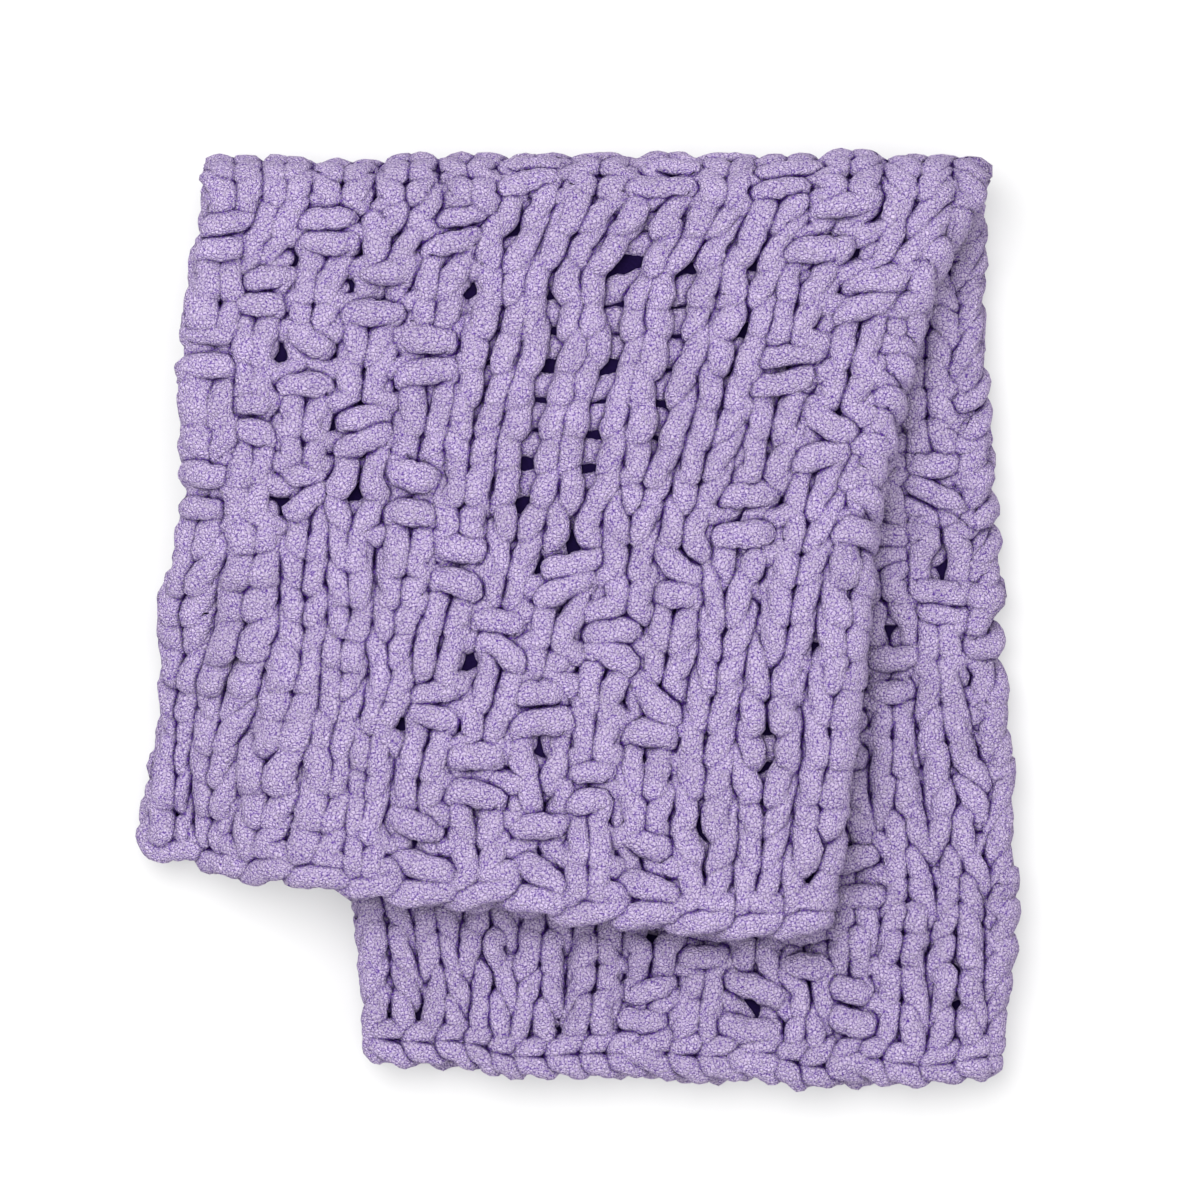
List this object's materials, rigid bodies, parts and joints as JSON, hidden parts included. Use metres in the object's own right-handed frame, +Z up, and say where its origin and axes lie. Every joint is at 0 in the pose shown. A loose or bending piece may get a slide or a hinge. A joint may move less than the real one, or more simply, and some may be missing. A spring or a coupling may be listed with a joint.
{
  "type": "knit blanket",
  "caption": "Chunky hand-knit chenille throw in a chequer of plain and basket blocks, folded lengthwise and then once across.",
  "frame": {"origin": "on the surface the blanket lies on, under the middle of its box", "axes": "+Z up, +Y from the free ends towards the crosswise fold, +X from the open side towards the lengthwise fold"},
  "size_m": [0.661, 0.7013, 0.1149],
  "materials": {
    "yarn": "matte lilac polyester chenille yarn with a short velvety pile"
  },
  "bodies": {
    "root": {"blanket": "yarn"}
  },
  "joints": []
}
